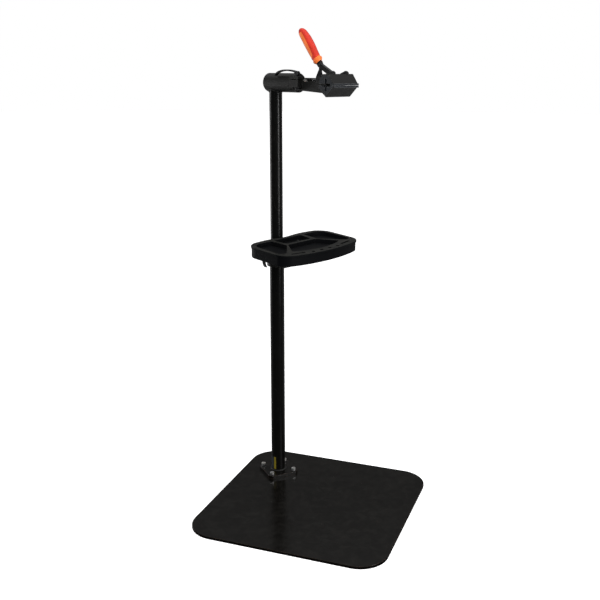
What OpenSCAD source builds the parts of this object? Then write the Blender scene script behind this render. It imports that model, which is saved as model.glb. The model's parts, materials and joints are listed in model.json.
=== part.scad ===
// Bike repair stand: steel floor plate, telescoping post, tool tray and a turning clamp head.
// Origin: post axis at floor level. +Z up, the clamp arm and the tray point along -Y.
// Head profiles are drawn in the arm's side plane: first number is the distance forward from
// the post axis, second number is the height above the axis of the horizontal barrel.

/* [Floor plate] */
// Side of the square floor plate
plate_side = 700; // [600:10:760]
// Thickness of the floor plate
plate_t = 10; // [8:1:12]
// Corner radius of the floor plate
plate_corner_r = 100; // [60:5:120]
// Distance from the post axis to the plate's rear edge
post_to_rear_edge = 168; // [150:1:200]
// Distance from the post axis to the plate's side edge
post_to_side_edge = 138; // [120:1:200]
// Angle between the plate's edges and the clamp arm
plate_turn = 25; // [0:1:45]

/* [Post] */
// Outer diameter of the lower tube
lower_d = 53; // [50:0.5:60]
// Outer diameter of the sliding upper tube
upper_d = 45; // [40:0.5:46]
// Wall of both tubes
tube_wall = 2.5; // [2:0.5:3]
// Height of the lower tube's top edge
lower_top = 900; // [880:5:940]
// Height of the barrel's axis, as the stand is set at rest
barrel_z = 1487; // [1400:1:1550]
// Length of upper tube inside the lower tube at rest
mast_insert = 360; // [330:5:420]

/* [Tool tray] */
// Height of the tray's rim where it would meet the post axis
tray_top_z = 949; // [945:1:960]
// Forward tilt of the tray
tray_tilt = 3; // [0:0.5:5]
// Sideways lean of the tray
tray_lean = 1.5; // [0:0.5:3]
// Height of the tray's outer wall
tray_h = 38; // [34:1:40]
// Depth of the tray's compartments
pocket_depth = 14.5; // [12:0.5:16]
// Thickness of the compartment floors and of the front ledge
tray_floor = 3.5; // [3:0.5:5]

/* [Clamp head] */
// Radius of the horizontal barrel
barrel_r = 32; // [30:1:34]
// Radius of the spindle that the arm turns on
spindle_r = 15; // [14:0.5:15]
// Width of the clamp arm
arm_w = 44; // [40:1:48]
// Sheet thickness of the arm and the jaw shells
sheet_t = 3; // [2.5:0.5:3]
// Length of the jaws along the clamped tube
jaw_w = 114; // [100:2:120]
// Width of the grooves for thin tubes in the jaw pads
groove_w = 10; // [8:0.5:11]

/* [Hidden] */
$fn = 64;

fit = 0.05;                 // radial clearance of a running fit
gap = 0.3;                  // clearance between pieces that pass each other
lower_r = lower_d / 2;
upper_r = upper_d / 2;
post_bore_r = lower_r - tube_wall;
mast_foot_z = lower_top - mast_insert;

// Foot of the post
flange_side = 120;
flange_cut = 76;            // distance from the axis to the cut corners
flange_t = 12;
flange_top = plate_t + flange_t;
bolt_circle_r = 63;
bolt_r = 5;
bolt_head_r = 8;
washer_t = 2;

// Height clamp at the top of the lower tube
collar_r = 34;
collar_z = 868;
collar_h = 32;
collar_slot = 3;
collar_lug_y = 50;
collar_lug_half = 13;
height_skewer_y = 40;
height_skewer_z = collar_z + collar_h / 2;

// Quick-release levers: cam, cross barrel and skewer
cam_r = 8;
cam_w = 14;
cross_r = 5;
skewer_r = 3;
cam_washer_t = 2;
height_blade = 60;
head_blade = 104;
blade_w = 13;
height_pivot_x = -collar_lug_half - cam_washer_t - cam_r;
height_skewer_len = collar_lug_half - height_pivot_x + 8;
skewer_nut_r = 8;
skewer_nut_h = 7;

// Barrel, spindle and arm socket, as distances forward from the post axis
barrel_back = -30;
barrel_front = 98;
barrel_wall = 4;
cap_t = 3;
bush_back = -18;
bush_front = 70;
bush_len = 24;
ring_t = 4;
disc_t = 1.2;
ring_front = barrel_front + ring_t;
socket_back = ring_front + disc_t + gap;
arm_back = 117;
hub_r = 17.5;
hub_front = 143;
spindle_end = hub_front + 0.5;
spindle_thread = 24;
spindle_washer_r = 16;
clamp_lug_inner_x = -10;
clamp_lug_x = -42;
clamp_lug_back = 112;
clamp_lug_front = 154;
clamp_lug_top = 21;
clamp_lug_bottom = -14;
clamp_slot_z = 10;
clamp_slot_h = 3;
head_skewer_x = -31;
head_skewer_y = 140;
head_pivot_z = clamp_lug_top + cam_washer_t + cam_r;
head_skewer_len = head_pivot_z - clamp_lug_bottom + 8;

// Clamp linkage in the arm's side plane: jaw pivot, lever foot and fulcrum
jaw_pivot = [231, 10];
lever_foot = [275.5, 22];
fulcrum = [220, 58];
adjuster_at = [214, 9.5];
pin_r = 4;
foot_pin_r = 3.5;
foot_slack = 1.7;           // play at the lever's foot, where the linkage closes
arm_top = 17;
arm_top_back = 155;
arm_top_front = 238;
arm_slot_z = 5.5;
arm_slot_h = 8.6;
arm_slot_back = 163;
arm_slot_front = 220;
lug_slot_back = 170;
lug_slot_front = 228;
lug_t = 5;
lever_t = 12;
lever_slot = 6;

// Jaw outlines in the arm's side plane
upper_outer = [[265, 0], [266, 12], [282, 30], [311, 31], [333, 1]];
upper_inner = [[329.4, 1], [309.5, 28], [283.4, 27], [269, 10.8], [268, 0]];
lower_outer = [[265, -5], [265, -14], [283, -29.5], [299, -42], [333, -10]];
lower_inner = [[328.8, -10], [298.8, -38.2], [284.8, -27.1], [268, -12.7], [268, -5]];
upper_face = [[277, 0], [318, -4.6], [338, -4.6], [338, 1.5], [333, 1]];
lower_face = [[277, -5], [318, -5.4], [338, -5.4], [338, -12], [333, -10]];
groove_at = [297.5, -4];
groove_reach = 20.5;
ear_at = [304, 31];
ear_x = 31;
ear_t = 6;
ear_r = 9.5;
ear_cap_r = 8;
ear_cap_t = 3.5;
lever_slot_half = 7;

// Tray outline: half width and distance forward of its corners, and the front edge's bulge
tray_half = 187;
tray_back_mid = 41;
tray_back_shoulder = [79, 32];
tray_back_end = 40;
tray_front_mid = 269;
tray_bow = 31;
rim_h = 7;
rim_step = 2.5;
skirt_t = 3.5;
tray_deck = pocket_depth + tray_floor;
tool_holes = [20, 60];
tool_hole_v = 249;
tool_hole_r = 6.5;
slot_at = [115, 233];
slot_turn = 12;
slot_half = 24;
slot_w = 9;
small_hole_r = 3;
riser_half = 15;
tray_plate_t = 3;
tray_ring_z = 836;
tray_ring_h = 28;
tray_ring_r = 36;
knob_x = 46;

// ---------------------------------------------------------------- shared shapes

module tube(r_out, r_in, h) {
    difference() {
        cylinder(r = r_out, h = h);
        translate([0, 0, -1]) cylinder(r = r_in, h = h + 2);
    }
}

// Extrudes a side-plane outline across the arm, centred on the arm's middle
module across(w) {
    rotate([90, 0, -90]) linear_extrude(height = w, center = true) children();
}

// Round bar across the arm at a point of the side plane
module cross_bar(at, r, w) {
    translate([0, -at[0], at[1]]) rotate([0, 90, 0]) cylinder(r = r, h = w, center = true);
}

// Puts its children on the barrel's axis, a distance forward, with their +Z facing forward
module on_axis(forward) {
    translate([0, -forward, barrel_z]) rotate([90, 0, 0]) children();
}

module at_head() {
    translate([0, 0, barrel_z]) children();
}

// Outline with each corner [x, y, r] rounded to its own radius
function unit(v) = v / norm(v);
function corner(a, p, b, r, n = 8) =
    let (u = unit(a - p), w = unit(b - p), half = acos(u * w) / 2,
         c = p + unit(u + w) * r / sin(half),
         from = p + u * r / tan(half) - c, to = p + w * r / tan(half) - c,
         start = atan2(from[1], from[0]), turn = atan2(to[1], to[0]) - start,
         sweep = turn > 180 ? turn - 360 : turn < -180 ? turn + 360 : turn)
    [for (i = [0 : n]) c + r * [cos(start + sweep * i / n), sin(start + sweep * i / n)]];
function rounded(pts) =
    let (n = len(pts), xy = [for (p = pts) [p[0], p[1]]])
    [for (i = [0 : n - 1]) each pts[i][2] == 0 ? [xy[i]]
        : corner(xy[(i + n - 1) % n], xy[i], xy[(i + 1) % n], pts[i][2])];
function mirrored(pts) = [for (i = [len(pts) - 1 : -1 : 0]) [-pts[i][0], pts[i][1], pts[i][2]]];

// ---------------------------------------------------------------- foot and lower post

// Places children at the four flange bolts
module at_flange_bolts() {
    for (i = [0 : 3])
        rotate([0, 0, plate_turn + 90 * i]) translate([bolt_circle_r, 0, 0]) children();
}

module base_plate() {
    straight = plate_side - 2 * plate_corner_r;
    half = plate_side / 2;
    color("#141312") difference() {
        rotate([0, 0, plate_turn]) translate([post_to_rear_edge - half, post_to_side_edge - half, 0])
            linear_extrude(height = plate_t) {
                square([straight, plate_side], center = true);
                square([plate_side, straight], center = true);
                for (x = [-1, 1], y = [-1, 1])
                    translate([x * straight / 2, y * straight / 2]) circle(r = plate_corner_r, $fn = 96);
            }
        at_flange_bolts() translate([0, 0, -1]) cylinder(r = bolt_r + fit, h = plate_t + 2);
    }
}

module post_flange() {
    color("#1a1918") difference() {
        translate([0, 0, plate_t]) rotate([0, 0, plate_turn]) linear_extrude(height = flange_t)
            intersection() {
                rotate([0, 0, 45]) square(flange_side, center = true);
                square(2 * flange_cut, center = true);
            }
        translate([0, 0, plate_t - 1]) cylinder(r = lower_r, h = flange_t + 2);
        at_flange_bolts() translate([0, 0, plate_t - 1]) cylinder(r = bolt_r + 0.5, h = flange_t + 2);
    }
}

module flange_bolts() {
    color("#b9bcc0") at_flange_bolts() difference() {
        union() {
            translate([0, 0, 1]) cylinder(r = bolt_r, h = flange_top + washer_t);
            translate([0, 0, flange_top + washer_t]) cylinder(r = bolt_head_r, h = 8);
        }
        translate([0, 0, flange_top + washer_t + 3]) cylinder(r = 4.6, h = 6, $fn = 6);
    }
}

module flange_washers() {
    color("#1b1c1e") at_flange_bolts() translate([0, 0, flange_top]) tube(10.5, bolt_r, washer_t);
}

module foot_weld() {
    color("#1a1a1a") translate([0, 0, flange_top]) rotate_extrude()
        polygon([[lower_r, 0], [lower_r + 5, 0], [lower_r + 3.6, 2.8], [lower_r, 5]]);
}

module lower_post() {
    color("#161616") difference() {
        translate([0, 0, plate_t]) tube(lower_r, post_bore_r, lower_top - plate_t);
        translate([-collar_slot / 2, 0, collar_z - 20]) cube([collar_slot, lower_r + 5, 80]);
    }
}

// ---------------------------------------------------------------- quick-release clamps

// Cam lever in its own frame: cross barrel along X, skewer going down, blade reaching to +Y
module cam_blade(reach) {
    n = 14;
    a = [-reach, -5.5];
    b = [-0.88 * reach, 0.1 * reach];
    c = [-0.45 * reach, 0.15 * reach];
    d = [0, 4.5];
    centre = [for (i = [0 : n]) let (t = i / n, s = 1 - t)
        s * s * s * a + 3 * s * s * t * b + 3 * s * t * t * c + t * t * t * d];
    difference() {
        union() {
            across(blade_w) polygon(concat([for (p = centre) p + [0, 2.5]],
                [for (i = [n : -1 : 0]) centre[i] - [0, 2.5]]));
            cross_bar([0, 0], cam_r, cam_w);
        }
        cross_bar([0, 0], cross_r + fit, cam_w + 2);
        translate([-skewer_r - 0.5, -3 * cam_r, -2 * cam_r])
            cube([2 * skewer_r + 1, 3 * cam_r + skewer_r + 0.5, 4 * cam_r]);
        translate([-3, 0.16 * reach, -cam_r]) cube([6, 0.26 * reach, 4 * cam_r]);
    }
}

// Cross barrel with the skewer that hangs from it
module skewer(length) {
    cross_bar([0, 0], cross_r, cam_w);
    translate([0, 0, -length]) cylinder(r = skewer_r, h = length);
}

module skewer_nut(length) {
    translate([0, 0, 1 - length]) tube(skewer_nut_r, skewer_r, skewer_nut_h);
}

module cam_washer() {
    translate([0, 0, -cam_r - cam_washer_t]) tube(cam_r - 0.5, skewer_r + fit, cam_washer_t - fit);
}

module at_height_cam() {
    translate([height_pivot_x, height_skewer_y, height_skewer_z])
        rotate([0, -90, 0]) rotate([0, 0, 90]) children();
}

module at_head_cam() {
    translate([head_skewer_x, -head_skewer_y, barrel_z + head_pivot_z]) children();
}

module height_collar() {
    color("#1a1a1a") translate([0, 0, collar_z]) difference() {
        union() {
            cylinder(r = collar_r, h = collar_h);
            translate([-collar_lug_half, 20, 0]) cube([2 * collar_lug_half, collar_lug_y - 20, collar_h]);
        }
        translate([0, 0, -1]) cylinder(r = lower_r, h = collar_h + 2);
        translate([-collar_slot / 2, 15, -1]) cube([collar_slot, collar_lug_y, collar_h + 2]);
        translate([0, height_skewer_y, collar_h / 2]) rotate([0, 90, 0])
            cylinder(r = skewer_r + 0.2, h = 3 * collar_lug_half, center = true);
    }
}

module height_skewer() {
    color("#b9bcc0") at_height_cam() skewer(height_skewer_len);
}

module height_skewer_nut() {
    color("#141414") at_height_cam() skewer_nut(height_skewer_len);
}

module height_cam_washer() {
    color("#101010") at_height_cam() cam_washer();
}

module height_lever() {
    color("#17181a") at_height_cam() cam_blade(height_blade);
}

// ---------------------------------------------------------------- mast

module post_bush() {
    color("#202020") difference() {
        union() {
            translate([0, 0, lower_top - 60]) cylinder(r = post_bore_r - fit, h = 60);
            translate([0, 0, lower_top + fit]) cylinder(r = lower_r - 0.2, h = 3);
            translate([0, 0, lower_top - 1]) cylinder(r = post_bore_r - fit, h = 2);
        }
        translate([0, 0, lower_top - 61]) cylinder(r = upper_r + fit, h = 70);
    }
}

module upper_post() {
    color("#161616") difference() {
        translate([0, 0, mast_foot_z]) tube(upper_r, upper_r - tube_wall, barrel_z - mast_foot_z);
        on_axis(-50) cylinder(r = barrel_r, h = 100);
    }
}

module mast_guide_bush() {
    color("#d8d8d2") translate([0, 0, mast_foot_z]) tube(post_bore_r - fit, upper_r, 40);
}

module mast_end_plug() {
    color("#202020") translate([0, 0, mast_foot_z - 3]) {
        cylinder(r = upper_r + 0.5, h = 3);
        cylinder(r = upper_r - tube_wall, h = 15);
    }
}

module barrel() {
    color("#1c1c1c") on_axis(barrel_back)
        tube(barrel_r, barrel_r - barrel_wall, barrel_front - barrel_back);
}

module barrel_weld() {
    color("#1a1a1a") difference() {
        translate([0, 0, barrel_z - barrel_r - 4]) cylinder(r1 = upper_r + 1, r2 = upper_r + 5, h = 12);
        translate([0, 0, barrel_z - barrel_r - 5]) cylinder(r = upper_r, h = 20);
        on_axis(-50) cylinder(r = barrel_r, h = 100);
    }
}

module barrel_cap() {
    color("#101010") on_axis(barrel_back - cap_t) {
        cylinder(r1 = barrel_r - 2, r2 = barrel_r, h = cap_t);
        cylinder(r = barrel_r - barrel_wall, h = cap_t + 10);
    }
}

module barrel_bushes() {
    color("#8f9296") for (at = [bush_back, bush_front])
        on_axis(at) tube(barrel_r - barrel_wall, spindle_r, bush_len);
}

module spindle() {
    length = spindle_end - bush_back;
    color("#9a9da1") on_axis(bush_back) difference() {
        cylinder(r = spindle_r, h = length);
        translate([0, 0, length - spindle_thread - 2]) cylinder(r = bolt_r, h = spindle_thread + 3);
    }
}

module index_ring() {
    color("#0f0f0f") on_axis(barrel_front) difference() {
        tube(barrel_r, spindle_r, ring_t);
        for (i = [0 : 23])
            rotate([0, 0, 15 * i]) translate([barrel_r - 4, -1.6, -1]) cube([10, 3.2, ring_t - 0.5]);
    }
}

module friction_disc() {
    color("#26262a") on_axis(ring_front) tube(barrel_r - 2, spindle_r, disc_t);
}

module spindle_washer() {
    color("#b0b3b7") on_axis(spindle_end) tube(spindle_washer_r, bolt_r, 3);
}

module spindle_screw() {
    color("#b9bcc0") on_axis(spindle_end) difference() {
        union() {
            translate([0, 0, -spindle_thread]) cylinder(r = bolt_r, h = spindle_thread + 3);
            translate([0, 0, 3]) cylinder(r = bolt_head_r, h = 8);
        }
        translate([0, 0, 6]) cylinder(r = 4.6, h = 6, $fn = 6);
    }
}

// ---------------------------------------------------------------- head

// Flange and hub on the spindle, with the split lug that the quick-release lever draws together
module arm_socket() {
    lug_h = clamp_lug_top - clamp_lug_bottom;
    lug_w = clamp_lug_inner_x - clamp_lug_x;
    lug_l = clamp_lug_front - clamp_lug_back;
    color("#1b1b1b") difference() {
        union() {
            on_axis(socket_back) cylinder(r = barrel_r, h = arm_back - socket_back);
            on_axis(arm_back - 1) cylinder(r = hub_r, h = hub_front - arm_back + 1);
            at_head() translate([clamp_lug_x, -clamp_lug_front, clamp_lug_bottom])
                cube([lug_w, lug_l, lug_h]);
        }
        on_axis(socket_back - 1) cylinder(r = spindle_r + fit, h = hub_front - socket_back + 2);
        on_axis(hub_front) cylinder(r = spindle_washer_r + 1, h = 20);
        at_head() translate([clamp_lug_x - 1, -clamp_lug_front - 1, clamp_slot_z])
            cube([lug_w + 6, lug_l + 2, clamp_slot_h]);
        at_head_cam() translate([0, 0, -60]) cylinder(r = skewer_r + 0.2, h = 60);
    }
}

module head_skewer() {
    color("#1b1c1e") at_head_cam() skewer(head_skewer_len);
}

module head_skewer_nut() {
    color("#141414") at_head_cam() skewer_nut(head_skewer_len);
}

module head_cam_washer() {
    color("#101010") at_head_cam() cam_washer();
}

module head_lever() {
    color("#17181a") at_head_cam() cam_blade(head_blade);
}

// Folded channel, open below, with a long side slot and a top slot for the sliding fulcrum
module arm_channel() {
    side = [[arm_back, arm_top], [arm_top_front, arm_top], [248, 4], [264.9, -5], [264.9, -14],
        [282, -29], [251, -30.5], [148, -24.5], [arm_back, -24.5]];
    lug_end = clamp_lug_front + gap;
    color("#1d1d1d") at_head() difference() {
        union() {
            for (x = [-1, 1])
                translate([x * (arm_w - sheet_t) / 2, 0, 0]) across(sheet_t) polygon(side);
            translate([-arm_w / 2, -arm_top_front, arm_top - sheet_t])
                cube([arm_w, arm_top_front - arm_top_back, sheet_t]);
        }
        translate([-arm_w, -lug_end, clamp_lug_bottom - gap])
            cube([arm_w, lug_end - arm_back + 1, 2 * arm_w]);
        for (end = [arm_slot_back, arm_slot_front])
            cross_bar([end, arm_slot_z + arm_slot_h / 2], arm_slot_h / 2, arm_w + 2);
        translate([-arm_w, -arm_slot_front, arm_slot_z])
            cube([2 * arm_w, arm_slot_front - arm_slot_back, arm_slot_h]);
        translate([-lug_t / 2 - gap, -lug_slot_front, 0])
            cube([lug_t + 2 * gap, lug_slot_front - lug_slot_back, 2 * arm_top]);
        cross_bar(jaw_pivot, pin_r, arm_w + 2);
    }
}

module jaw_pivot_pin() {
    color("#1b1c1e") at_head() cross_bar(jaw_pivot, pin_r, arm_w + 14);
}

// Cross-shaped groove through both jaw pads
module groove(r) {
    for (s = [-1, 1]) {
        cross_bar(groove_at + [0, s * (groove_reach - r)], r, jaw_w + 8);
        cross_bar(groove_at + [s * (groove_reach - r), 0], r, jaw_w + 8);
    }
    across(jaw_w + 8) translate(groove_at) square([2 * r, 2 * (groove_reach - r)], center = true);
    across(jaw_w + 8) translate(groove_at) square([2 * (groove_reach - r), 2 * r], center = true);
}

module lower_jaw_shell() {
    color("#1e1e1e") at_head() across(jaw_w) polygon(concat(lower_outer, lower_inner));
}

module lower_jaw_pad() {
    color("#1b1d20") at_head() difference() {
        across(jaw_w - 1) polygon([lower_inner[4], lower_inner[3], lower_inner[2], lower_inner[1],
            lower_inner[0], lower_face[4], lower_face[3], lower_face[2], lower_face[1], lower_face[0]]);
        groove(groove_w / 2);
    }
}

// Pocket in the upper jaw that takes the lever's foot
module foot_pocket() {
    translate([-lever_slot_half, -288, 9]) cube([2 * lever_slot_half, 30, 40]);
}

module upper_jaw_shell() {
    cheek = [[222, 12], [224, 18], [236, 22], [271, 20], [273, 18], [268, 12], [266.5, 2], [240, 1],
        [226, 2]];
    cheek_t = 3;
    ear = [[269, 17], [268, 20], [283, 33], [296, 37.5], [304, 30], [304, 27.6], [284, 27.6]];
    color("#1e1e1e") at_head() difference() {
        union() {
            across(jaw_w) polygon(concat(upper_outer, upper_inner));
            for (x = [-1, 1]) {
                translate([x * (arm_w / 2 + gap + cheek_t / 2), 0, 0]) across(cheek_t) polygon(cheek);
                translate([x * ear_x, 0, 0]) intersection() {
                    union() {
                        across(ear_t) polygon(ear);
                        cross_bar(ear_at, ear_r, ear_t);
                    }
                    across(ear_t) polygon([[267, 14], [267, 50], [316, 50], [316, 28.2], [283.4, 28.2]]);
                }
            }
        }
        foot_pocket();
        cross_bar(lever_foot, foot_pin_r, jaw_w + 2);
        cross_bar(jaw_pivot, pin_r + fit, jaw_w);
    }
}

module upper_jaw_pad() {
    color("#1b1d20") at_head() difference() {
        across(jaw_w - 1) polygon([upper_inner[4], upper_inner[3], upper_inner[2], upper_inner[1],
            upper_inner[0], upper_face[4], upper_face[3], upper_face[2], upper_face[1], upper_face[0]]);
        groove(groove_w / 2);
        foot_pocket();
        cross_bar(lever_foot, foot_pin_r, jaw_w + 2);
    }
}

// Half-round caps on both faces of each ear, above the jaw's top plate
module jaw_ear_caps() {
    color("#0c0c0c") at_head() for (x = [-ear_x, ear_x], s = [-1, 1])
        translate([x + s * (ear_t + ear_cap_t) / 2, 0, 0]) intersection() {
            cross_bar(ear_at, ear_cap_r, ear_cap_t);
            across(ear_cap_t) translate([ear_at[0] - ear_r, ear_at[1]]) square(2 * ear_r);
        }
}

module lever_foot_pin() {
    color("#1b1c1e") at_head() cross_bar(lever_foot, foot_pin_r, jaw_w - 10);
}

// ---------------------------------------------------------------- sliding fulcrum and lever

module adjuster_block() {
    inner = arm_w - 2 * sheet_t - 2 * gap;
    low = -8;
    color("#2a2a2c") at_head() difference() {
        translate([-inner / 2, -226, low]) cube([inner, 26, arm_top - sheet_t - gap - low]);
        cross_bar(adjuster_at, pin_r, arm_w);
        cross_bar(jaw_pivot, pin_r + 2, arm_w);
    }
}

module adjuster_pin() {
    color("#1b1c1e") at_head() cross_bar(adjuster_at, pin_r, arm_w + 1);
}

module fulcrum_lug() {
    base = arm_top - sheet_t - gap;
    color("#232323") at_head() difference() {
        union() {
            across(lug_t) polygon([[200, base], [226, base], [228.5, arm_top + 3], [224, 38], [225.5, 55],
                [214.5, 60], [213, 45], [199, arm_top + 3]]);
            cross_bar(fulcrum, 7, lug_t);
        }
        cross_bar(fulcrum, pin_r, lug_t + 2);
    }
}

module fulcrum_pin() {
    color("#1b1c1e") at_head() cross_bar(fulcrum, pin_r, lever_t + 5);
}

module lever_shank() {
    across(5) polygon([[201, 62], [222, 72], [196, 104], [178, 92]]);
}

module clamp_lever() {
    bar = [[203, 63], [221, 72], [226, 62], [246, 51.5], [268, 40], [278, 31.5], [284, 25], [284, 19],
        [276, 13], [268, 16], [248, 33], [214, 52]];
    color("#2b2c2e") at_head() difference() {
        union() {
            across(lever_t) polygon(bar);
            cross_bar(lever_foot, 8.5, lever_t);
            cross_bar(fulcrum, 7.5, lever_t);
            lever_shank();
        }
        cross_bar(fulcrum, pin_r + fit, lever_t + 2);
        cross_bar(lever_foot, foot_pin_r + foot_slack, lever_t + 2);
        cross_bar(fulcrum, 9.5, lever_slot);
        across(lever_slot) polygon([[206, 45], [240, 25], [244, 36], [226, 62], [213, 64]]);
    }
}

// Pliers-style grip, drawn as stations along a curved centre line: forward, height, depth, width
grip_stations = [[200, 80, 14.5, 13], [186, 99, 16, 13], [170, 121, 17, 14], [153, 143, 17, 13.5],
    [137, 160, 15, 12], [125, 171, 11, 9.5]];
grip_foot = [212, 67];
grip_lean = 40.9;           // angle of the grip's foot back from the vertical
collar_flat = 0.82;

module grip_disc(st) {
    translate([0, -st[0], barrel_z + st[1]]) rotate([-45, 0, 0]) scale([st[3] / st[2], 1, 1])
        cylinder(r = st[2], h = 1, center = true, $fn = 28);
}

module grip_collar() {
    at_head() translate([0, -grip_foot[0], grip_foot[1]]) rotate([-grip_lean, 0, 0])
        scale([collar_flat, 1, 1]) rotate_extrude($fn = 72)
            polygon([[0, 0], [11, 0], [17, 8], [17.5, 11], [17, 14], [14, 17], [0, 17]]);
}

module grip_strip() {
    at_head() across(9) polygon([[192, 66.5], [187.4, 70.6], [172.2, 88.7], [155.4, 110.1],
        [138.4, 132.1], [124, 150.3], [127.4, 152.8], [141.8, 134.6], [158.8, 112.6], [175.6, 91.2],
        [190.8, 73.1], [196, 70]]);
}

module lever_grip() {
    color("#c8372a") difference() {
        for (i = [0 : len(grip_stations) - 2]) hull() {
            grip_disc(grip_stations[i]);
            grip_disc(grip_stations[i + 1]);
        }
        grip_collar();
        grip_strip();
        at_head() lever_shank();
        at_head() cross_bar([127, 168], 4, 40);
    }
}

module grip_inlay() {
    color("#f07a33") difference() {
        union() {
            grip_collar();
            grip_strip();
        }
        at_head() lever_shank();
        at_head() across(lever_t + 1) polygon([[203, 63], [221, 72], [226, 62], [214, 52]]);
    }
}

// ---------------------------------------------------------------- tool tray

module at_tray() {
    translate([0, 0, tray_top_z]) rotate([tray_tilt, -tray_lean, 0]) children();
}

// The tray is drawn with its forward direction along +Y and then turned to point along -Y
module tray_flat() {
    mirror([0, 1, 0]) children();
}

function bow(u) = tray_front_mid - tray_bow * pow(u / tray_half, 2);
function back_edge(u) =
    let (k = min(1, abs(u) / tray_back_shoulder[0]))
    tray_back_mid + (tray_back_shoulder[1] - tray_back_mid) * (3 * k * k - 2 * k * k * k);
function tray_outline(inset) =
    let (back = [tray_half - inset, tray_back_end + inset, 60 - inset],
         front = [tray_half - inset, bow(tray_half) - inset, 50 - inset])
    rounded(concat([for (u = [-100 : 20 : 100]) [u, back_edge(u) + inset, 0]], [back, front],
        [for (u = [120 : -20 : -120]) [u, bow(u) - inset, 0]], mirrored([back, front])));

side_pocket = [[79, 56, 10], [168, 56, 40], [174, 206, 20], [146, 208, 10], [75, 134, 10]];
back_pocket = [[-66, 56, 8], [66, 56, 8], [58, 117, 8], [-58, 117, 8]];
pocket_front = [116, 203, 28];  // half width, distance forward at the ends, extra in the middle
function pocket_bow(u) = pocket_front[1] + pocket_front[2] * (1 - pow(u / pocket_front[0], 2));
front_pocket = concat([[-66, 130, 10], [66, 130, 10], [pocket_front[0], pocket_front[1], 6]],
    [for (u = [90 : -30 : -90]) [u, pocket_bow(u), 0]], [[-pocket_front[0], pocket_front[1], 6]]);

// Hollow below the front ledge, open at the bottom
module ledge_hollow() {
    polygon(concat([for (u = [-100 : 20 : 100]) [u, pocket_bow(u) + 8]],
        [for (u = [125 : -25 : -125]) [u, bow(u) - 9]]));
}

module tray_holes() {
    for (x = [-1, 1]) {
        for (u = tool_holes)
            translate([x * u, tool_hole_v, -tray_deck - 2]) cylinder(r = tool_hole_r, h = 2 * tray_deck);
        translate([x * slot_at[0], slot_at[1], -tray_deck - 2]) rotate([0, 0, -x * slot_turn]) {
            translate([-slot_half, -slot_w / 2, 0]) cube([2 * slot_half, slot_w, 2 * tray_deck]);
            for (e = [-slot_half, slot_half])
                translate([e, 0, 0]) cylinder(r = slot_w / 2, h = 2 * tray_deck);
        }
        translate([x * 167, 215, -8]) cylinder(r = small_hole_r, h = 20);
        translate([x * 154, 58, -8]) cylinder(r = small_hole_r, h = 20);
    }
}

// Shallow pan with a deep skirt
module tray() {
    color("#1a1b1d") at_tray() tray_flat() difference() {
        union() {
            translate([0, 0, -rim_h]) linear_extrude(height = rim_h) polygon(tray_outline(0));
            translate([0, 0, -tray_h]) linear_extrude(height = tray_h) polygon(tray_outline(rim_step));
        }
        translate([0, 0, -pocket_depth]) linear_extrude(height = tray_h) {
            polygon(rounded(side_pocket));
            polygon(rounded(mirrored(side_pocket)));
            polygon(rounded(back_pocket));
            polygon(rounded(front_pocket));
        }
        translate([0, 0, -tray_h - 1]) linear_extrude(height = tray_h - tray_deck + 1)
            polygon(tray_outline(rim_step + skirt_t));
        translate([0, 0, -tray_deck - 1]) linear_extrude(height = tray_deck - tray_floor + 1)
            ledge_hollow();
        translate([-riser_half - 1, 0, -tray_h - 1])
            cube([2 * riser_half + 2, 70, tray_h - tray_deck + 1]);
        tray_holes();
        at_tray_screws() translate([0, 0, -tray_h - 1]) cylinder(r = 2.6, h = tray_h);
    }
}

module at_tray_screws() {
    for (x = [-1, 1], v = [72, 104]) translate([x * 38, v, 0]) children();
}

module tray_screws() {
    color("#1b1c1e") at_tray() tray_flat() at_tray_screws() {
        translate([0, 0, -tray_deck - tray_plate_t]) cylinder(r = 2.5, h = tray_plate_t + tray_floor);
        translate([0, 0, -pocket_depth]) cylinder(r1 = 4.8, r2 = 3.2, h = 2.4);
    }
}

module tray_plate() {
    color("#1a1a1a") at_tray() tray_flat() difference() {
        translate([-52, 48, -tray_deck - tray_plate_t]) cube([104, 68, tray_plate_t]);
        at_tray_screws() translate([0, 0, -tray_h]) cylinder(r = 2.6, h = tray_h);
    }
}

// Ring on the lower tube with the riser that carries the tray plate
module tray_ring() {
    ring_top = tray_ring_z + tray_ring_h;
    riser = [[30, tray_ring_z], [58, tray_ring_z], [66, tray_ring_z + 14], [66, tray_top_z],
        [48, tray_top_z], [44, ring_top], [30, ring_top]];
    color("#191919") difference() {
        union() {
            translate([0, 0, tray_ring_z]) cylinder(r = tray_ring_r, h = tray_ring_h);
            across(2 * riser_half) polygon(riser);
            translate([20, 0, tray_ring_z + tray_ring_h / 2]) rotate([0, 90, 0])
                cylinder(r = 10, h = knob_x - 22);
        }
        translate([0, 0, tray_ring_z - 1]) cylinder(r = lower_r + fit, h = tray_ring_h + 2);
        at_tray() tray_flat() translate([-60, 0, -tray_deck - tray_plate_t]) cube([120, 120, 100]);
        translate([20, 0, tray_ring_z + tray_ring_h / 2]) rotate([0, 90, 0])
            cylinder(r = 4 + fit, h = 40);
    }
}

module at_knob() {
    translate([knob_x, 0, tray_ring_z + tray_ring_h / 2]) rotate([0, 90, 0]) children();
}

module tray_knob() {
    color("#141414") at_knob() difference() {
        union() {
            cylinder(r = 9, h = 6);
            translate([0, 0, 5]) cylinder(r = 15, h = 13);
        }
        for (i = [0 : 5]) rotate([0, 0, 60 * i]) translate([19, 0, 4]) cylinder(r = 6.5, h = 16);
        translate([0, 0, -1]) cylinder(r = 4, h = 12);
    }
}

module tray_knob_stud() {
    length = knob_x - lower_r - 0.2;
    color("#8f9296") at_knob() translate([0, 0, -length]) cylinder(r = 4, h = length + 11);
}

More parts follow.
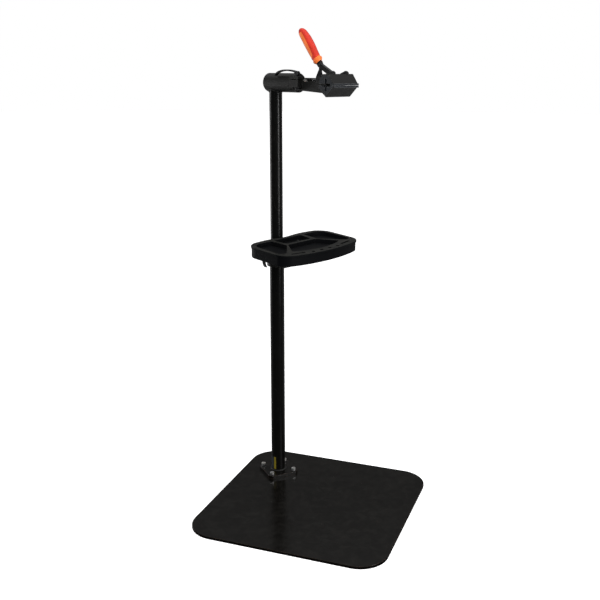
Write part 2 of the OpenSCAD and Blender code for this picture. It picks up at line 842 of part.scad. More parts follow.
base_plate();
post_flange();
flange_bolts();
flange_washers();
foot_weld();
lower_post();
height_collar();
height_skewer();
height_skewer_nut();
height_cam_washer();
height_lever();
post_bush();
upper_post();
mast_guide_bush();
mast_end_plug();
barrel();
barrel_weld();
barrel_cap();
barrel_bushes();
spindle();
index_ring();
friction_disc();
spindle_washer();
spindle_screw();
arm_socket();
head_skewer();
head_skewer_nut();
head_cam_washer();
head_lever();
arm_channel();
jaw_pivot_pin();
lower_jaw_shell();
lower_jaw_pad();
upper_jaw_shell();
upper_jaw_pad();
jaw_ear_caps();
lever_foot_pin();
adjuster_block();
adjuster_pin();
fulcrum_lug();
fulcrum_pin();
clamp_lever();
lever_grip();
grip_inlay();
tray_ring();
tray_plate();
tray();
tray_screws();
tray_knob();
tray_knob_stud();
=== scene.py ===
"""Looks for the bike repair stand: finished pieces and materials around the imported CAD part."""

import json
import math

import bmesh
import bpy
from mathutils import Matrix, Vector


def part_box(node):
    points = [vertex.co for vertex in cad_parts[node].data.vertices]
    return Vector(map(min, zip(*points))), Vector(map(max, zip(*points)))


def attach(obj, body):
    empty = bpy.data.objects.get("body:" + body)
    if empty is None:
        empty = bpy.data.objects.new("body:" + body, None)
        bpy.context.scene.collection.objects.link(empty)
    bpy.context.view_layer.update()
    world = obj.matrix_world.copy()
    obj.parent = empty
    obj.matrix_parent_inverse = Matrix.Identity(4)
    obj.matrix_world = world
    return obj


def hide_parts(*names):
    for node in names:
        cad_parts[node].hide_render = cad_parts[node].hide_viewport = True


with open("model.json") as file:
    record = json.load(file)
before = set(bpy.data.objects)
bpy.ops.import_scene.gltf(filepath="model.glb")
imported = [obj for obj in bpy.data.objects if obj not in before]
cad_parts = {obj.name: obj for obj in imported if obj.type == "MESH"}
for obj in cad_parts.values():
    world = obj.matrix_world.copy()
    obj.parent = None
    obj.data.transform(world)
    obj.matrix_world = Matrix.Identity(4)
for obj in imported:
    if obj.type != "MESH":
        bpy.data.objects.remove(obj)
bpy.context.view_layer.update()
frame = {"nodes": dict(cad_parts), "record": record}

MM = 0.001
BARREL_Z = 1.487          # height of the barrel's axis
BODIES = frame["record"]["behaviour"]["bodies"]
BODY_OF = {node: body for body, nodes in BODIES.items() for node in nodes}
SLOT_OF = {row["node"]: row["material_slot"] for row in frame["record"]["subparts"]}
scene = bpy.context.scene


# ------------------------------------------------------------------ camera
# Place of the camera in metres, and the directions of its right, up and forward
VIEW_FROM = Vector((-2.0416, -2.2305, 1.5295))
VIEW_RIGHT = Vector((0.70232, -0.71184, 0.00578))
VIEW_UP = Vector((0.17809, 0.18356, 0.96674))
VIEW_AHEAD = Vector((0.68922, 0.67794, -0.25569))

lens = bpy.data.cameras.new("camera")
lens.sensor_width = 36
lens.lens = 50.57
lens.shift_x = -0.0333
lens.shift_y = -0.0117
camera = bpy.data.objects.new("camera", lens)
columns = (VIEW_RIGHT, VIEW_UP, -VIEW_AHEAD)
rows = [[column[i] for column in columns] + [VIEW_FROM[i]] for i in range(3)]
camera.matrix_world = Matrix(rows + [[0, 0, 0, 1]])
scene.collection.objects.link(camera)
scene.camera = camera


# ------------------------------------------------------------------ material kit
NOISE_ROUGHNESS = 0.55
HAIR_WIDTH = 0.006        # of the noise's range, so a scratch is a thin line
DUST = (0.24, 0.225, 0.20)


class Shader:
    """A material's node tree, built with short calls. Coordinates are the object's own."""

    def __init__(self, name):
        self.material = bpy.data.materials.new(name)
        self.material.use_nodes = True
        self.tree = self.material.node_tree
        self.tree.nodes.clear()
        self.bsdf = self.tree.nodes.new("ShaderNodeBsdfPrincipled")
        out = self.tree.nodes.new("ShaderNodeOutputMaterial")
        self.tree.links.new(self.bsdf.outputs[0], out.inputs[0])
        self.place = self.tree.nodes.new("ShaderNodeTexCoord").outputs["Object"]

    def put(self, value, socket):
        """Links an output to the socket, or sets the socket's constant."""
        if isinstance(value, bpy.types.NodeSocket):
            self.tree.links.new(value, socket)
        else:
            socket.default_value = value

    def math(self, operation, a, b=0.0):
        node = self.tree.nodes.new("ShaderNodeMath")
        node.operation = operation
        self.put(a, node.inputs[0])
        self.put(b, node.inputs[1])
        return node.outputs[0]

    def noise(self, scale, detail=3.0, distortion=0.0, stretch=None):
        node = self.tree.nodes.new("ShaderNodeTexNoise")
        node.inputs["Scale"].default_value = scale
        node.inputs["Detail"].default_value = detail
        node.inputs["Roughness"].default_value = NOISE_ROUGHNESS
        node.inputs["Distortion"].default_value = distortion
        self.put(self.stretched(stretch) if stretch else self.place, node.inputs["Vector"])
        return node.outputs[0]

    def cells(self, scale):
        node = self.tree.nodes.new("ShaderNodeTexVoronoi")
        node.inputs["Scale"].default_value = scale
        self.put(self.place, node.inputs["Vector"])
        return node.outputs["Distance"]

    def stretched(self, stretch):
        """The object's own coordinates, scaled per axis."""
        node = self.tree.nodes.new("ShaderNodeMapping")
        node.inputs["Scale"].default_value = stretch
        self.put(self.place, node.inputs["Vector"])
        return node.outputs[0]

    def span(self, value, low, high, to_low=0.0, to_high=1.0):
        """Maps low..high onto to_low..to_high, held at both ends."""
        node = self.tree.nodes.new("ShaderNodeMapRange")
        node.clamp = True
        for socket, number in zip(list(node.inputs)[1:5], (low, high, to_low, to_high)):
            socket.default_value = number
        self.put(value, node.inputs[0])
        return node.outputs[0]

    def mix(self, factor, a, b):
        node = self.tree.nodes.new("ShaderNodeMix")
        node.data_type = "RGBA"
        self.put(factor, node.inputs[0])
        for colour, index in ((a, 6), (b, 7)):
            self.put(colour if isinstance(colour, bpy.types.NodeSocket) else (*colour, 1.0),
                     node.inputs[index])
        return node.outputs[2]

    def axis(self, index):
        """X, Y or Z of the place on the object, by its index."""
        node = self.tree.nodes.new("ShaderNodeSeparateXYZ")
        self.put(self.place, node.inputs[0])
        return node.outputs[index]

    def facing_up(self):
        """1 where the surface looks straight up, 0 on walls, -1 underneath."""
        geometry = self.tree.nodes.new("ShaderNodeNewGeometry")
        split = self.tree.nodes.new("ShaderNodeSeparateXYZ")
        self.put(geometry.outputs["Normal"], split.inputs[0])
        return split.outputs[2]

    def edges(self, radius):
        """1 on the convex and concave edges that lie within the radius, 0 on open surface."""
        bevel = self.tree.nodes.new("ShaderNodeBevel")
        bevel.samples = 4
        bevel.inputs["Radius"].default_value = radius
        geometry = self.tree.nodes.new("ShaderNodeNewGeometry")
        dot = self.tree.nodes.new("ShaderNodeVectorMath")
        dot.operation = "DOT_PRODUCT"
        self.put(bevel.outputs[0], dot.inputs[0])
        self.put(geometry.outputs["Normal"], dot.inputs[1])
        return self.span(dot.outputs["Value"], 0.999, 0.9)

    def scratches(self, scale):
        """Hair lines, where a stretched noise passes through its middle value."""
        wander = self.noise(scale, detail=1.0, distortion=0.6, stretch=(1.0, 0.35, 0.6))
        line = self.math("ABSOLUTE", self.math("SUBTRACT", wander, 0.5))
        patch = self.span(self.noise(scale * 0.8, detail=2.0), 0.52, 0.66)
        return self.math("MULTIPLY", self.span(line, HAIR_WIDTH, 0.0), patch)

    def bump(self, height, depth, strength=1.0, over=None):
        """A normal bent by the height, on top of another normal where one is given."""
        node = self.tree.nodes.new("ShaderNodeBump")
        node.inputs["Distance"].default_value = depth
        node.inputs["Strength"].default_value = strength
        self.put(height, node.inputs["Height"])
        if over is not None:
            self.put(over, node.inputs["Normal"])
        return node.outputs[0]

    def finish(self, colour, roughness, normal, **constants):
        """Fills the surface's sockets; the constants are named as their sockets are."""
        self.put(colour, self.bsdf.inputs["Base Color"])
        self.put(roughness, self.bsdf.inputs["Roughness"])
        self.put(normal, self.bsdf.inputs["Normal"])
        for name, value in constants.items():
            self.bsdf.inputs[name.replace("_", " ")].default_value = value
        return self.material


def shade(colour, by):
    """A colour made lighter or darker, no brighter than 1."""
    return tuple(min(1.0, c * by) for c in colour)


def coated(name, colour, rough, grain, depth, gloss, wear, bare=(0.20, 0.19, 0.18), dust=0.10,
           scratch=0.25, mottle=0.35, painted_shade=None):
    """Powder coat or moulded plastic: mottled colour, fine grain, rubbed edges, dust and hair lines."""
    s = Shader(name)
    cloud = s.noise(7.0, detail=5.0)
    smear = s.noise(31.0, detail=4.0, distortion=0.8)
    grit = s.noise(grain, detail=2.0)
    body = s.mix(s.span(cloud, 0.32, 0.68), shade(colour, 0.82), shade(colour, 1.18))
    body = s.mix(s.math("MULTIPLY", s.span(smear, 0.5, 0.75), mottle), body, shade(colour, 1.45))
    rubbed = s.math("MULTIPLY", s.edges(1.6 * MM), s.span(s.noise(240.0, detail=4.0), 0.44, 0.62))
    body = s.mix(s.math("MULTIPLY", rubbed, wear), body, bare)
    settled = s.math("MULTIPLY", s.span(s.facing_up(), 0.6, 1.0), s.span(smear, 0.42, 0.7))
    body = s.mix(s.math("MULTIPLY", settled, dust), body, DUST)
    lines = s.scratches(26.0)
    body = s.mix(s.math("MULTIPLY", lines, scratch), body, shade(bare, 0.7))
    # Painted shade: where a function for it is given, shade is painted into the colour and gloss (the
    # tray's pockets and side walls)
    if painted_shade is not None:
        body, gloss = painted_shade(s, body, gloss)
    roughness = s.math("ADD", s.span(smear, 0.35, 0.7, rough - 0.17 * mottle, rough + 0.22 * mottle),
                       s.math("MULTIPLY", lines, 0.1))
    fine = s.bump(grit, depth)
    s.put(gloss, s.bsdf.inputs["Specular IOR Level"])
    return s.finish(body, roughness, s.bump(s.noise(grain * 0.13, detail=1.0), depth * 2.0, 0.5, fine))


def bright_metal(name, colour, rough, tint, streak=None, stain=0.3):
    """Zinc plate or turned steel: tinted patches, tool marks and small stains."""
    s = Shader(name)
    patch = s.noise(60.0, detail=4.0, distortion=1.2)
    marks = s.noise(900.0, detail=2.0, stretch=streak) if streak else s.noise(1300.0, detail=2.0)
    body = s.mix(s.span(patch, 0.35, 0.7), colour, tint)
    spots = s.span(s.noise(210.0, detail=5.0), 0.58, 0.7)
    body = s.mix(s.math("MULTIPLY", spots, stain), body, shade(colour, 0.3))
    roughness = s.math("ADD", s.span(marks, 0.3, 0.7, rough - 0.08, rough + 0.1),
                       s.math("MULTIPLY", spots, 0.2))
    return s.finish(body, roughness, s.bump(marks, 0.06 * MM, 0.6), Metallic=1.0)


def moulded_rubber(name, colour, rough, gloss, ribs=None):
    """Rubber or soft plastic: pebbled skin, paler where it is rubbed, grime in patches."""
    s = Shader(name)
    cloud = s.noise(22.0, detail=5.0)
    pebble = s.cells(1500.0)
    body = s.mix(s.span(cloud, 0.3, 0.7), shade(colour, 0.84), shade(colour, 1.12))
    pale = tuple(c + (1.0 - c) * 0.22 for c in colour)
    body = s.mix(s.math("MULTIPLY", s.edges(1.8 * MM), 0.4), body, pale)
    grime = s.span(s.noise(75.0, detail=6.0, distortion=0.7), 0.56, 0.75)
    body = s.mix(s.math("MULTIPLY", grime, 0.22), body, shade(colour, 0.35))
    roughness = s.span(s.noise(40.0, detail=4.0), 0.3, 0.7, rough - 0.08, rough + 0.1)
    normal = s.bump(pebble, 0.12 * MM, 0.7)
    if ribs:
        wave = s.tree.nodes.new("ShaderNodeTexWave")
        wave.bands_direction = ribs[0]
        wave.inputs["Scale"].default_value = ribs[1]
        wave.inputs["Distortion"].default_value = 0.3
        s.put(s.place, wave.inputs["Vector"])
        normal = s.bump(wave.outputs["Fac"], 0.25 * MM, 0.6, normal)
    return s.finish(body, roughness, normal, Specular_IOR_Level=gloss)


TRAY_RIM_Z = 0.949        # height of the rim's plane at the post's axis
TRAY_SLOPE_Y = 0.0524     # the plane rises with Y by 3 degrees
TRAY_SLOPE_X = 0.0262     # and with X by 1.5 degrees
# Painted shade: the colour and gloss painted into the tray's pockets and side walls, where shade falls
TRAY_PAINTED_SHADE = (0.0030, 0.0032, 0.0038)
TRAY_PAINTED_SHADE_GLOSS = 0.045


def tray_shadow(s, body, gloss):
    """Painted shade: the pockets and side walls of the moulded tray are painted a deeper black than its
    rim, standing in for the shade that falls in the recesses and on the walls.
    """
    lean = s.math("ADD", s.math("MULTIPLY", s.axis(1), TRAY_SLOPE_Y),
                  s.math("MULTIPLY", s.axis(0), TRAY_SLOPE_X))
    depth = s.math("SUBTRACT", s.math("SUBTRACT", s.axis(2), TRAY_RIM_Z), lean)
    deep = s.span(depth, -4.0 * MM, -1.5 * MM, 1.0, 0.0)
    wall = s.span(s.facing_up(), 0.35, 0.75, 1.0, 0.0)
    # mask of the painted shade: below the rim's plane, or on a wall
    dark = s.math("MAXIMUM", deep, wall)
    body = s.mix(dark, body, TRAY_PAINTED_SHADE)
    return body, s.span(dark, 0.0, 1.0, gloss, TRAY_PAINTED_SHADE_GLOSS)


MATERIALS = {
    "plate_paint": coated("plate_paint", (0.0030, 0.0027, 0.0023), rough=0.19, grain=1150.0,
                          depth=0.03 * MM, gloss=0.17, wear=0.8, bare=(0.11, 0.062, 0.042),
                          dust=0.012, scratch=0.06, mottle=0.12),
    "tube_paint": coated("tube_paint", (0.0030, 0.0030, 0.0028), rough=0.29, grain=1250.0,
                         depth=0.04 * MM, gloss=0.14, wear=0.3, dust=0.06, scratch=0.10,
                         mottle=0.15),
    "cast_paint": coated("cast_paint", (0.0095, 0.0095, 0.0092), rough=0.44, grain=950.0,
                         depth=0.06 * MM, gloss=0.20, wear=0.35, dust=0.05, scratch=0.14,
                         mottle=0.2),
    "zinc": bright_metal("zinc", (0.80, 0.81, 0.83), rough=0.27, tint=(0.84, 0.80, 0.72),
                         stain=0.2),
    "steel": bright_metal("steel", (0.46, 0.46, 0.47), rough=0.32, tint=(0.40, 0.39, 0.38),
                          streak=(1.0, 9.0, 9.0)),
    "dark_steel": coated("dark_steel", (0.0080, 0.0082, 0.0090), rough=0.33, grain=820.0,
                         depth=0.04 * MM, gloss=0.28, wear=0.4, bare=(0.26, 0.26, 0.27),
                         dust=0.03, scratch=0.25, mottle=0.2),
    # the tray's pockets and side walls get painted shade
    "tray_plastic": coated("tray_plastic", (0.0082, 0.0084, 0.0077), rough=0.50, grain=1900.0,
                           depth=0.05 * MM, gloss=0.11, wear=0.30, bare=(0.08, 0.08, 0.085),
                           dust=0.05, scratch=0.25, mottle=0.2, painted_shade=tray_shadow),
    "black_plastic": coated("black_plastic", (0.011, 0.011, 0.0115), rough=0.45, grain=1500.0,
                            depth=0.05 * MM, gloss=0.25, wear=0.3, bare=(0.09, 0.09, 0.09)),
    "nylon": coated("nylon", (0.52, 0.51, 0.47), rough=0.45, grain=1200.0, depth=0.04 * MM,
                    gloss=0.4, wear=0.2, bare=(0.35, 0.34, 0.31)),
    "pad_rubber": moulded_rubber("pad_rubber", (0.0165, 0.0185, 0.0215), rough=0.55, gloss=0.25,
                                 ribs=("X", 55.0)),
    "grip_red": moulded_rubber("grip_red", (0.62, 0.036, 0.019), rough=0.45, gloss=0.25),
    "grip_orange": moulded_rubber("grip_orange", (0.95, 0.20, 0.045), rough=0.5, gloss=0.2),
}


# ------------------------------------------------------------------ mesh kit
HARD_EDGE = math.radians(38.0)     # edges sharper than this stay hard in the shading
BREAK_EDGE = math.radians(26.0)    # edges sharper than this get a small round
FLAT_WITHIN = math.radians(0.4)    # faces closer to one plane than this are joined
SAME_POINT = 2e-6                  # metres


def turns(count):
    """Angles spaced evenly round a full turn."""
    return [2 * math.pi * k / count for k in range(count)]


def linked(name, bm):
    """A scene object made of a bmesh, which is used up."""
    mesh = bpy.data.meshes.new(name)
    bm.to_mesh(mesh)
    bm.free()
    made = bpy.data.objects.new(name, mesh)
    scene.collection.objects.link(made)
    return made


def add_piece(name, bm, body, slot, material=None, stands_for=(), weighted=True):
    """Turns a bmesh into a finished piece that rides on a CAD body."""
    bmesh.ops.recalc_face_normals(bm, faces=bm.faces)
    for face in bm.faces:
        face.smooth = True
    for edge in bm.edges:
        edge.smooth = not (len(edge.link_faces) == 2 and edge.calc_face_angle(0.0) > HARD_EDGE)
    piece = linked(name, bm)
    piece.data.materials.append(material or MATERIALS[slot])
    if weighted:
        modifier = piece.modifiers.new("even_normals", "WEIGHTED_NORMAL")
        modifier.keep_sharp = True
    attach(piece, body)
    if stands_for:
        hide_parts(*stands_for)
    return piece


def eased(node, width, segments):
    """A CAD node with its sharp edges broken to a small round, standing for the node."""
    bm = bmesh.new()
    bm.from_mesh(frame["nodes"][node].data)
    bmesh.ops.remove_doubles(bm, verts=bm.verts, dist=SAME_POINT)
    bmesh.ops.dissolve_limit(bm, angle_limit=FLAT_WITHIN, verts=bm.verts, edges=bm.edges)
    sharp = [e for e in bm.edges if len(e.link_faces) == 2
             and e.calc_face_angle(0.0) > BREAK_EDGE]
    bmesh.ops.bevel(bm, geom=sharp, offset=width, segments=segments, profile=0.5, affect="EDGES",
                    clamp_overlap=True)
    bmesh.ops.remove_doubles(bm, verts=bm.verts, dist=SAME_POINT / 2)
    return add_piece(node + "_skin", bm, BODY_OF[node], SLOT_OF[node], stands_for=(node,))


def swept(rings, closed=False):
    """A bmesh skin over rings of points, closed into a loop or capped at both ends."""
    bm = bmesh.new()
    loops = [[bm.verts.new(p) for p in ring] for ring in rings]
    count = len(loops[0])
    for a, b in zip(loops, loops[1:] + ([loops[0]] if closed else [])):
        for i in range(count):
            j = (i + 1) % count
            bm.faces.new((a[i], a[j], b[j], b[i]))
    if not closed:
        bm.faces.new(list(reversed(loops[0])))
        bm.faces.new(loops[-1])
    return bm


def side(forward, height, across=0.0):
    """A point in the row frame, given in millimetres from the barrel's axis."""
    return Vector((across * MM, -forward * MM, BARREL_Z + height * MM))


def smooth_path(knots, steps):
    """Catmull-Rom points through knots of any length."""
    ends = [knots[0]] + list(knots) + [knots[-1]]
    out = []
    for k in range(1, len(ends) - 2):
        p = ends[k - 1:k + 3]
        for i in range(steps):
            t = i / steps
            out.append(tuple(
                0.5 * (2 * p[1][c] + (p[2][c] - p[0][c]) * t
                       + (2 * p[0][c] - 5 * p[1][c] + 4 * p[2][c] - p[3][c]) * t * t
                       + (3 * p[1][c] - p[0][c] - 3 * p[2][c] + p[3][c]) * t ** 3)
                for c in range(len(p[0]))))
    out.append(tuple(knots[-1]))
    return out


# ------------------------------------------------------------------ CAD nodes with eased edges
EASE = {  # width of each node's broken edges, in millimetres
    "base_plate": 1.6, "post_flange": 1.2, "flange_bolts": 0.7, "flange_washers": 0.3,
    "lower_post": 0.4, "height_collar": 1.0, "height_skewer": 0.4, "height_skewer_nut": 0.8,
    "height_cam_washer": 0.25, "height_lever": 1.0, "post_bush": 0.5, "upper_post": 0.3,
    "mast_guide_bush": 0.4, "mast_end_plug": 0.6, "barrel": 0.7, "barrel_cap": 1.0,
    "barrel_bushes": 0.4, "spindle": 0.6, "index_ring": 0.35, "friction_disc": 0.2,
    "spindle_washer": 0.4, "spindle_screw": 0.6, "arm_socket": 1.1, "head_skewer": 0.4,
    "head_skewer_nut": 0.8, "head_cam_washer": 0.25, "head_lever": 1.1, "arm_channel": 0.7,
    "jaw_pivot_pin": 0.5, "lower_jaw_shell": 0.8, "lower_jaw_pad": 0.8, "upper_jaw_shell": 0.8,
    "upper_jaw_pad": 0.8, "jaw_ear_caps": 0.8, "lever_foot_pin": 0.4, "adjuster_block": 0.6,
    "adjuster_pin": 0.4, "fulcrum_lug": 0.8, "fulcrum_pin": 0.5, "clamp_lever": 0.9,
    "tray_ring": 1.0, "tray_plate": 0.5, "tray": 1.1, "tray_screws": 0.3, "tray_knob": 1.0,
    "tray_knob_stud": 0.3,
}
WIDE_BREAK = 0.9  # wider ones than this are rounded in three steps, the others in two
for cad_node, break_mm in EASE.items():
    eased(cad_node, break_mm * MM, segments=3 if break_mm > WIDE_BREAK else 2)


# ------------------------------------------------------------------ welds
POST_R = 26.5 * MM
MAST_R = 22.5 * MM
BARREL_R = 32.0 * MM
WELD_STEPS = 240
WELD_SIDES = 12
WELD_FLATTEN = 0.8


def around_tube(radius, height_at):
    """Closed path round an upright tube, as (point, outward direction) per angle."""
    path = []
    for angle in turns(WELD_STEPS):
        across, along = math.cos(angle), math.sin(angle)
        path.append((Vector((across * radius, along * radius, height_at(angle))),
                     Vector((across, along, 0.0))))
    return path


def bead(name, body, node, path, radius, ripples):
    """Weld bead along a closed path, with overlapping ripples and a slow uneven swell."""
    rings = []
    for i, (point, out) in enumerate(path):
        turn = i / len(path)
        ripple = 0.10 * abs(math.sin(math.pi * ripples * turn))
        swell = radius * (1 + ripple + 0.05 * math.sin(47 * turn))
        ahead = (path[(i + 1) % len(path)][0] - point).normalized()
        up = ahead.cross(out).normalized()
        if up.z < 0:
            up = -up
        rings.append([point + out * (swell * math.cos(a)) + up * (swell * WELD_FLATTEN * math.sin(a))
                      for a in turns(WELD_SIDES)])
    add_piece(name, swept(rings, closed=True), body, SLOT_OF[node], stands_for=(node,),
              weighted=False)


def barrel_underside(angle):
    """Height at which the mast's skin meets the barrel, a little inside the barrel."""
    return BARREL_Z - math.sqrt(BARREL_R ** 2 - (MAST_R * math.cos(angle)) ** 2) - 0.8 * MM


flange_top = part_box("post_flange")[1][2]
foot_path = around_tube(POST_R + 1.0 * MM, lambda angle: flange_top + 1.2 * MM)
bead("foot_weld_bead", "base", "foot_weld", foot_path, 3.6 * MM, ripples=34)
saddle_path = around_tube(MAST_R + 0.6 * MM, barrel_underside)
bead("barrel_weld_bead", "mast", "barrel_weld", saddle_path, 3.0 * MM, ripples=30)


# ------------------------------------------------------------------ lever grip
# Stations along the grip, in mm: forward, height, half depth in the side plane, half width along X
GRIP = [(203.5, 76.5, 13.0, 12.2), (200, 80, 14.2, 12.8), (193, 89.5, 15.0, 12.9),
        (186, 99, 15.8, 13.0), (178, 110, 16.5, 13.5), (170, 121, 16.9, 13.9),
        (161.5, 132, 17.0, 13.9), (153, 143, 16.7, 13.4), (145, 151.5, 15.8, 12.8),
        (137, 160, 14.6, 11.9), (130.5, 166, 12.4, 10.6), (126.5, 169.8, 9.6, 8.6),
        (123.6, 172.6, 5.8, 5.4), (122.4, 173.8, 1.2, 1.2)]
GRIP_STEPS = 10           # rings from one station to the next
AROUND_GRIP = 64
SQUARENESS = 2.35         # exponent of the cross-section, where 2 is an ellipse
RIDGE_DEPTH, RIDGE_PITCH = 0.8, 4.2
RIDGES_FROM, RIDGES_TO = 12, 100
HOLE_AT = (127, 168)
HOLE_R = 3.9


def grip_rings():
    """(forward, height, direction across, half depth, half width, distance along) per ring."""
    path = smooth_path(GRIP, GRIP_STEPS)
    out = []
    length = 0.0
    for i, (forward, height, depth, width) in enumerate(path):
        before, after = path[max(0, i - 1)], path[min(len(path) - 1, i + 1)]
        run = Vector((after[0] - before[0], after[1] - before[1])).normalized()
        if i:
            length += math.dist(path[i - 1][:2], path[i][:2])
        out.append((forward, height, Vector((-run.y, run.x)), depth, width, length))
    return out


def grip_point(ring, angle, grow=0.0, ridge=0.0):
    """A point of the grip's skin; angle 0 faces forward, pi faces back."""
    forward, height, normal, depth, width, _ = ring
    if normal.x < 0:
        normal = -normal
    c, s = math.cos(angle), math.sin(angle)
    power = 2 / SQUARENESS
    reach = (depth + grow + ridge) * math.copysign(abs(c) ** power, c)
    across = (width + grow) * math.copysign(abs(s) ** power, s)
    return side(forward + normal.x * reach, height + normal.y * reach, across)


def ridge_at(along, angle):
    """Finger ridges, cut into the front of the grip and fading out at its ends."""
    front = max(0.0, math.cos(angle)) ** 3
    fade_in = min(1.0, max(0.0, (along - RIDGES_FROM) / 8))
    fade_out = min(1.0, max(0.0, (RIDGES_TO - along) / 12))
    wave = 0.5 + 0.5 * math.cos(2 * math.pi * along / RIDGE_PITCH)
    return -RIDGE_DEPTH * front * (fade_in * fade_out) * wave


def grip_body():
    return swept([[grip_point(ring, angle, ridge=ridge_at(ring[5], angle))
                   for angle in turns(AROUND_GRIP)] for ring in grip_rings()])


def drill_hanging_hole(piece):
    """Cuts the hole along X near the grip's tip through a piece."""
    centre = side(*HOLE_AT)
    radius = HOLE_R * MM
    cutter = swept([[centre + Vector((x, radius * math.cos(a), radius * math.sin(a)))
                     for a in turns(40)] for x in (-30 * MM, 30 * MM)])
    bmesh.ops.recalc_face_normals(cutter, faces=cutter.faces)
    drill = linked("drill", cutter)
    modifier = piece.modifiers.new("hole", "BOOLEAN")
    modifier.operation = "DIFFERENCE"
    modifier.solver = "EXACT"
    modifier.object = drill
    graph = bpy.context.evaluated_depsgraph_get()
    result = bpy.data.meshes.new_from_object(piece.evaluated_get(graph))
    piece.modifiers.clear()
    piece.data = result
    bpy.data.objects.remove(drill)


grip = add_piece("grip_body", grip_body(), "clamp_lever", "grip_red", stands_for=("lever_grip",),
                 weighted=False)
drill_hanging_hole(grip)

# Collar: lathe profile in mm, as (distance along the grip's axis, radius), flattened along X
COLLAR = [(0.0, 8.5), (0.0, 10.6), (0.8, 11.4), (3.5, 13.4), (6.5, 16.0), (8.6, 17.3), (10.4, 17.7),
          (12.2, 17.5), (13.8, 16.6), (15.2, 15.2), (16.4, 14.2), (17.6, 13.6), (17.6, 8.5)]
COLLAR_FOOT = (212, 67)
COLLAR_LEAN = math.radians(40.9)
COLLAR_FLATTEN = 0.82
AROUND_COLLAR = 72


def collar_rings():
    axis = Vector((-math.sin(COLLAR_LEAN), math.cos(COLLAR_LEAN)))
    cross = Vector((math.cos(COLLAR_LEAN), math.sin(COLLAR_LEAN)))
    rings = []
    for along, radius in smooth_path(COLLAR, 3):
        ring = []
        for angle in turns(AROUND_COLLAR):
            out = cross * (radius * math.cos(angle)) + axis * along
            ring.append(side(COLLAR_FOOT[0] + out.x, COLLAR_FOOT[1] + out.y,
                             radius * COLLAR_FLATTEN * math.sin(angle)))
        rings.append(ring)
    return rings


add_piece("grip_collar", swept(collar_rings()), "clamp_lever", "grip_orange",
          stands_for=("grip_inlay",), weighted=False)

# Soft back of the grip: a shell over the rear half, narrowing to both ends
STRIP_FROM, STRIP_TO = 7.0, 114.0
STRIP_STEPS = 44
STRIP_PROUD, STRIP_TUCK, STRIP_SUNK = 0.5, 0.9, 1.4   # mm out of the grip, at its edges, inside it


def strip_reach(along):
    """Half angle that the soft back wraps around, at a distance along the grip."""
    t = (along - STRIP_FROM) / (STRIP_TO - STRIP_FROM)
    ends = min(1.0, t / 0.16) * min(1.0, (1.0 - t) / 0.07)
    return math.radians(30 + (66 + 14 * t) * math.sqrt(max(0.0, ends * (2.0 - ends))))


def strip_rings():
    """Outer face from edge to edge, then the inner face back again, per ring of the grip."""
    across = [-1 + 2 * k / STRIP_STEPS for k in range(STRIP_STEPS + 1)]
    rings = []
    for ring in grip_rings():
        if not STRIP_FROM <= ring[5] <= STRIP_TO:
            continue
        reach = strip_reach(ring[5])
        outer = [grip_point(ring, math.pi + reach * t, grow=STRIP_PROUD - STRIP_TUCK * abs(t) ** 12)
                 for t in across]
        inner = [grip_point(ring, math.pi + reach * t, grow=-STRIP_SUNK) for t in reversed(across)]
        rings.append(outer + inner)
    return rings


strip = add_piece("grip_strip", swept(strip_rings()), "clamp_lever", "grip_orange", weighted=False)
drill_hanging_hole(strip)


# ------------------------------------------------------------------ plain label at the foot
LABEL_LOW, LABEL_HIGH = 0.029, 0.078
LABEL_FROM, LABEL_TO = math.radians(146), math.radians(206)
LABEL_STEPS = 24
BAND_FROM = math.radians(187)
BAND_BLUR = 0.004         # radians
FILM = 0.15 * MM          # half thickness


def label_film():
    """Printed film: a slate panel and a yellow band, scuffed, with nothing written on it."""
    s = Shader("label_film")
    turn = s.math("ARCTAN2", s.math("MULTIPLY", s.axis(1), -1.0), s.math("MULTIPLY", s.axis(0), -1.0))
    edge = BAND_FROM - math.pi
    body = s.mix(s.span(turn, edge - BAND_BLUR, edge + BAND_BLUR),
                 (0.010, 0.015, 0.022), (0.16, 0.125, 0.010))
    worn = s.span(s.noise(160.0, detail=5.0), 0.55, 0.68)
    body = s.mix(s.math("MULTIPLY", worn, 0.45), body, (0.03, 0.03, 0.03))
    return s.finish(body, s.span(worn, 0.0, 1.0, 0.35, 0.6), s.bump(s.noise(500.0), 0.04 * MM),
                    Specular_IOR_Level=0.3)


def label_rings():
    section = ((POST_R - FILM, LABEL_LOW), (POST_R + FILM, LABEL_LOW),
               (POST_R + FILM, LABEL_HIGH), (POST_R - FILM, LABEL_HIGH))
    angles = [LABEL_FROM + (LABEL_TO - LABEL_FROM) * i / LABEL_STEPS for i in range(LABEL_STEPS + 1)]
    return [[Vector((math.cos(a) * r, math.sin(a) * r, z)) for r, z in section] for a in angles]


add_piece("foot_label", swept(label_rings()), "base", "tube_paint", material=label_film())


# ------------------------------------------------------------------ stage and light
AWAY = (0.71, 0.70)       # X and Y of the direction away from the camera
FLOOR_R = 30.0
BACKDROP_R = 32.0
FLOOR_DROP = 0.4 * MM
BOUNCE_DROP = 0.8 * MM


def plain(name, tint, strength=None, behind=None):
    """Paper, glowing where a strength is given, of another tint far behind where one is given."""
    s = Shader(name)
    tone = s.mix(s.span(s.noise(1.3), 0.3, 0.7), tint, shade(tint, 1.02))
    if behind:
        away = s.math("ADD", s.math("MULTIPLY", s.axis(0), AWAY[0]),
                      s.math("MULTIPLY", s.axis(1), AWAY[1]))
        tone = s.mix(s.span(away, -0.3, 1.0), tone, behind)
    material = s.finish(tone, 0.8, s.bump(s.noise(260.0), 0.1 * MM, 0.3), Specular_IOR_Level=0.05)
    if strength:
        s.bsdf.inputs["Emission Color"].default_value = (1.0, 1.0, 1.0, 1.0)
        s.bsdf.inputs["Emission Strength"].default_value = strength
    return material


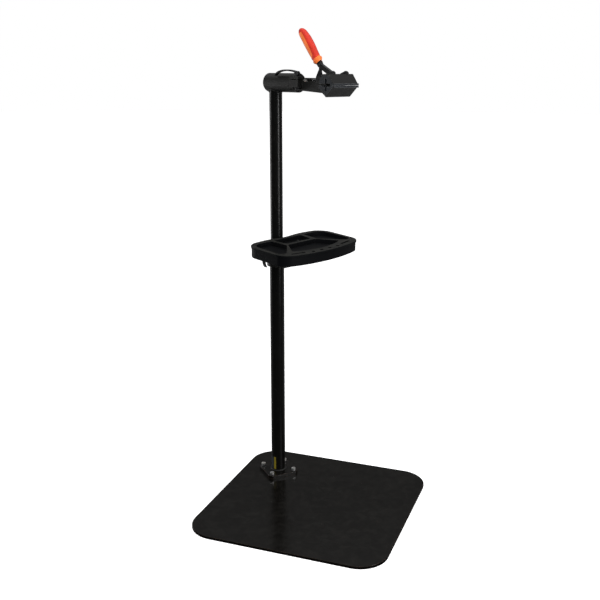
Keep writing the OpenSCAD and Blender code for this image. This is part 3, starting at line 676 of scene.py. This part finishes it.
def stage_piece(name, bm, material, z, seen):
    """A floor or backdrop: either the camera sees it, or only the light does."""
    piece = linked(name, bm)
    piece.data.materials.append(material)
    piece.location.z = z
    piece.visible_camera = seen
    piece.visible_diffuse = not seen
    piece.visible_glossy = not seen
    return piece


def floor_disc():
    bm = bmesh.new()
    bmesh.ops.create_circle(bm, cap_ends=True, segments=96, radius=FLOOR_R)
    return bm


def inward_sphere():
    bm = bmesh.new()
    bmesh.ops.create_uvsphere(bm, u_segments=48, v_segments=24, radius=BACKDROP_R)
    for face in bm.faces:
        face.normal_flip()
    return bm


floor_paper = plain("floor_paper", (0.90, 0.90, 0.90), strength=0.5)
stage_piece("floor", floor_disc(), floor_paper, -FLOOR_DROP, seen=True)
floor_card = plain("floor_card", (0.04, 0.04, 0.04), behind=(0.66, 0.66, 0.66))
stage_piece("floor_bounce", floor_disc(), floor_card, -BOUNCE_DROP, seen=False)
backdrop_paper = plain("backdrop_paper", (0.0, 0.0, 0.0), strength=1.0)
backdrop = stage_piece("backdrop", inward_sphere(), backdrop_paper, 0.0, seen=True)
backdrop.visible_shadow = False

# The world's light, from the horizon to straight up, over a range of the sky's height
SKY_FROM, SKY_TO = 0.42, 0.98
HORIZON_LIGHT = 0.13
SKY_LIGHT = 1.5
world = bpy.data.worlds.new("studio")
world.use_nodes = True
tree = world.node_tree
where = tree.nodes.new("ShaderNodeSeparateXYZ")
tree.links.new(tree.nodes.new("ShaderNodeTexCoord").outputs["Generated"], where.inputs[0])
ramp = tree.nodes.new("ShaderNodeMapRange")
ramp.interpolation_type = "SMOOTHSTEP"
for socket, number in zip(list(ramp.inputs)[1:5], (SKY_FROM, SKY_TO, HORIZON_LIGHT, SKY_LIGHT)):
    socket.default_value = number
tree.links.new(where.outputs[2], ramp.inputs[0])
tree.links.new(ramp.outputs[0], tree.nodes["Background"].inputs["Strength"])
tree.nodes["Background"].inputs["Color"].default_value = (1.0, 1.0, 1.0, 1.0)
scene.world = world
scene.view_settings.view_transform = "Standard"


def softbox(name, at, aim, width, height, power, mirrored=True):
    """A rectangular lamp aimed at a point, seen in reflections only where it is mirrored."""
    light = bpy.data.lights.new(name, "AREA")
    light.shape = "RECTANGLE"
    light.size = width
    light.size_y = height
    light.energy = power
    lamp = bpy.data.objects.new(name, light)
    lamp.location = at
    lamp.rotation_euler = (Vector(aim) - Vector(at)).to_track_quat("-Z", "Y").to_euler()
    lamp.visible_camera = False
    lamp.visible_glossy = mirrored
    scene.collection.objects.link(lamp)


softbox("key_strip", (0.25, -3.3, 1.25), (0, 0, 1.25), 0.5, 1.5, 60)
softbox("left_fill", (-1.2, 3.6, 1.0), (0, 0, 0.9), 0.9, 2.4, 44)
softbox("front_fill", (-3.2, -2.2, 2.6), (0, 0, 1.4), 2.0, 2.0, 110, mirrored=False)
